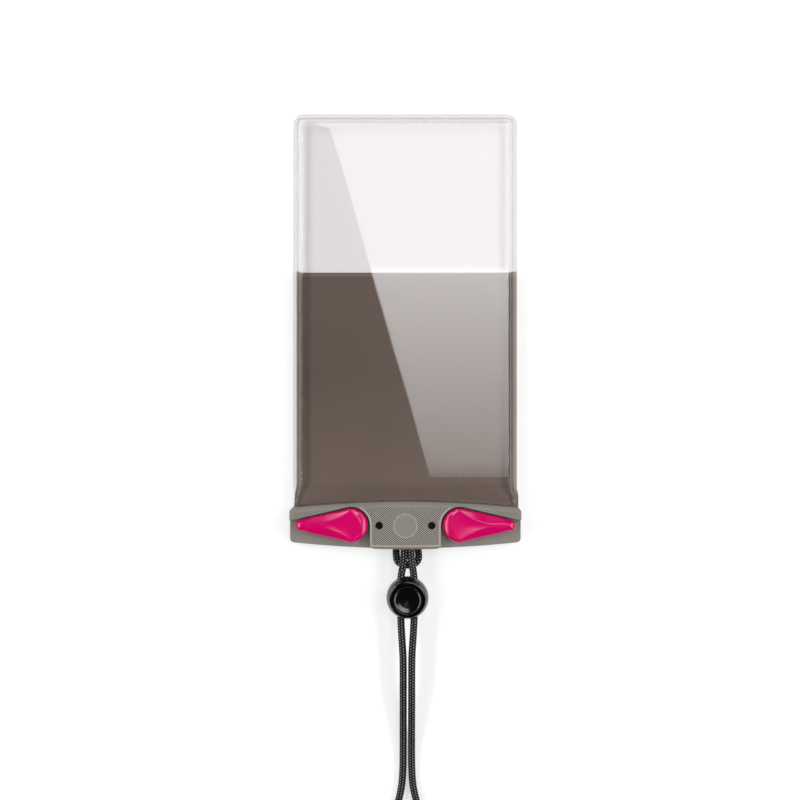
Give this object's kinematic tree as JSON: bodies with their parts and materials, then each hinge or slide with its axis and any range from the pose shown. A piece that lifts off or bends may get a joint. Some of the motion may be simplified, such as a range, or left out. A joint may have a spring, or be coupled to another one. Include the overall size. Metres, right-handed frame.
{
  "type": "waterproof phone case",
  "caption": "Clear waterproof phone pouch closed by a bowed lever clamp, with a braided neck cord and a ball cord lock.",
  "frame": {"origin": "under the middle of the pouch and clamp together, on the surface that the case lies on", "axes": "+Y towards the closed end of the pouch, +Z out of the clear front"},
  "size_m": [0.108, 0.4293, 0.0188],
  "materials": {
    "clear_film": "clear flexible film, glossy",
    "grey_film": "opaque grey-taupe flexible film, satin",
    "jaw_grey": "moulded grey plastic with a ribbed front",
    "seal_rubber": "soft seal strip",
    "pink": "bright pink moulded plastic, glossy",
    "black_acetal": "black moulded plastic",
    "black_cord": "braided cord",
    "strap_black": "hook-and-loop strap",
    "lock_black": "black moulded plastic, satin",
    "spring_wire": "spring wire"
  },
  "bodies": {
    "case": {"front_film": "clear_film", "back_window": "clear_film", "back_panel": "grey_film", "rear_jaw": "jaw_grey", "rear_seal": "seal_rubber", "lanyard_bail": "black_acetal", "cord_hitch": "black_cord", "cord_left": "black_cord", "cord_right": "black_cord", "cord_hank": "black_cord", "hank_strap": "strap_black"},
    "front_clamp": {"front_jaw": "jaw_grey", "front_seal": "seal_rubber"},
    "left_lever": {"lever_left": "pink", "cam_post_left": "black_acetal"},
    "right_lever": {"lever_right": "pink", "cam_post_right": "black_acetal"},
    "cord_lock": {"lock_body": "lock_black", "lock_spring": "spring_wire"},
    "button": {"lock_button": "lock_black"}
  },
  "joints": [
    {"name": "jaw_part", "type": "slide", "parent": "case", "child": "front_clamp", "axis": [0, 0, 1], "range_m": [0, 0.0016]},
    {"name": "lever_left_turn", "type": "hinge", "parent": "front_clamp", "child": "left_lever", "pos_m": [-0.0252, -0.09085, 0], "axis": [0, 0, 1], "range_deg": [0, 90]},
    {"name": "lever_right_turn", "type": "hinge", "parent": "front_clamp", "child": "right_lever", "pos_m": [0.0252, -0.09085, 0], "axis": [0, 0, 1], "range_deg": [-90, 0]},
    {"name": "lock_slide", "type": "slide", "parent": "case", "child": "cord_lock", "axis": [0, 1, 0], "range_m": [-0.025, 0.002]},
    {"name": "lock_press", "type": "slide", "parent": "cord_lock", "child": "button", "axis": [0, 0, -1], "range_m": [0, 0.003], "stiffness_N_per_m": 800, "springref_m": -0.004, "deforming": ["lock_spring"]}
  ],
  "couplings": [
    {"joint": "lever_left_turn", "follows": "jaw_part", "rad_per_m": 981.74},
    {"joint": "lever_right_turn", "follows": "jaw_part", "rad_per_m": -981.74}
  ]
}
